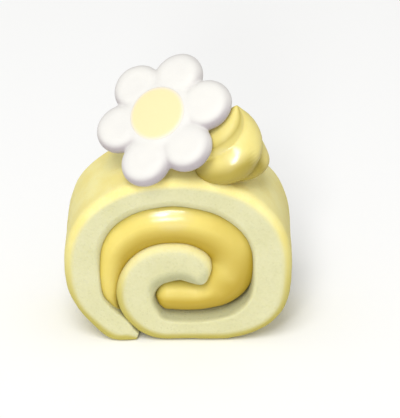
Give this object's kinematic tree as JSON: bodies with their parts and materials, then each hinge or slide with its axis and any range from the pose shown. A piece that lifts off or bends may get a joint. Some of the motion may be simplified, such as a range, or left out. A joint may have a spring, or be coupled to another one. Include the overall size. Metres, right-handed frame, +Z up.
{
  "type": "swiss roll cake slice",
  "caption": "Slice of rolled sponge cake with a thick custard spiral in its cut faces, a piped cream swirl and a leaning white sugar daisy on its crown.",
  "frame": {"origin": "on the flat spot that the slice rests on, halfway between its cut faces", "axes": "+Z up, +X across the roll towards the cream swirl, -Y out of the front cut face"},
  "size_m": [0.08, 0.0406, 0.099],
  "materials": {
    "sponge": "soft fine crumb",
    "custard": "smooth and glossy",
    "cream": "smooth and glossy",
    "petal": "satin sugar paste",
    "centre": "satin sugar paste"
  },
  "bodies": {
    "root": {"sponge": "sponge", "custard": "custard", "cream_swirl": "cream", "flower": "petal", "flower_centre": "centre"}
  },
  "joints": []
}
